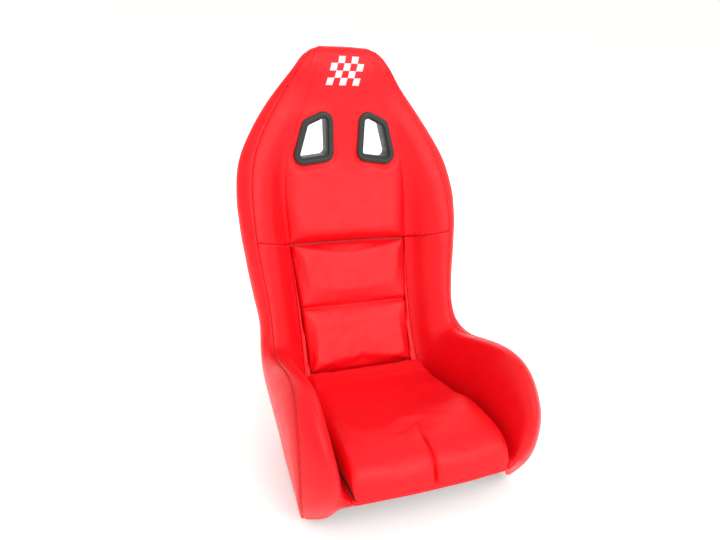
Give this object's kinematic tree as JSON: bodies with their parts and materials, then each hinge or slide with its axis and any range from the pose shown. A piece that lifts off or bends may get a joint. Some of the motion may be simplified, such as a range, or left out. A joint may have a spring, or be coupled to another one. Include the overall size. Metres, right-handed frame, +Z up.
{
  "type": "fixed-back bucket racing seat",
  "caption": "Fixed-back bucket racing seat in red vinyl with high hip bolsters, harness slots, a lift-off lumbar pad and a lift-off seat cushion on foot rails.",
  "frame": {"origin": "on the floor, under the middle of the seat's bounding box; the foot rails' undersides are at z = 0", "axes": "+Z up; the seat faces -Y; +X is the left-hand side of a person sitting in it; the seat is symmetric about x = 0"},
  "size_m": [0.548, 0.7044, 0.851],
  "materials": {
    "gelcoat": "glossy black gelcoat on glass-fibre laminate",
    "rail": "satin black glass-fibre laminate",
    "insert": "zinc-plated steel",
    "trim": "matt extruded rubber",
    "bezel": "fine-grained black moulding",
    "foam": "open-cell foam",
    "vinyl": "soft red grained vinyl",
    "embroidery": "white satin-stitch embroidery",
    "hook": "black hook tape",
    "loop": "black loop tape",
    "lining": "black woven lining"
  },
  "bodies": {
    "seat": {"shell": "gelcoat", "base_rail_left": "rail", "base_rail_right": "rail", "insert_front_left": "insert", "insert_front_right": "insert", "insert_rear_left": "insert", "insert_rear_right": "insert", "hem_trim": "trim", "slot_bezel_front_left": "bezel", "slot_bezel_front_right": "bezel", "slot_bezel_rear_left": "bezel", "slot_bezel_rear_right": "bezel", "upper_back_foam": "foam", "recess_foam": "foam", "pan_foam": "foam", "bolster_foam_left": "foam", "bolster_foam_right": "foam", "wing_foam_left": "foam", "wing_foam_right": "foam", "upper_back_cover": "vinyl", "recess_cover": "vinyl", "pan_cover": "vinyl", "bolster_cover_left": "vinyl", "bolster_cover_right": "vinyl", "wing_cover_left": "vinyl", "wing_cover_right": "vinyl", "outer_side_cover_left": "vinyl", "outer_side_cover_right": "vinyl", "headrest_emblem": "embroidery", "recess_hook_strip_lower": "hook", "recess_hook_strip_upper": "hook", "pan_hook_strip_front": "hook", "pan_hook_strip_rear": "hook"},
    "lumbar_pad": {"lumbar_pad_cover": "vinyl", "lumbar_pad_foam_lower": "foam", "lumbar_pad_foam_upper": "foam", "lumbar_pad_back": "lining", "pad_loop_strip_lower": "loop", "pad_loop_strip_upper": "loop"},
    "seat_cushion": {"seat_cushion_cover": "vinyl", "seat_cushion_foam": "foam", "seat_cushion_base": "lining", "cushion_loop_strip_front": "loop", "cushion_loop_strip_rear": "loop"}
  },
  "joints": [
    {"name": "lumbar_pad_pull", "type": "slide", "parent": "seat", "child": "lumbar_pad", "axis": [0, -0.8, 0.6], "range_m": [0, 0.08]},
    {"name": "seat_cushion_lift", "type": "slide", "parent": "seat", "child": "seat_cushion", "axis": [0, -0.6, 0.8], "range_m": [0, 0.12]}
  ]
}
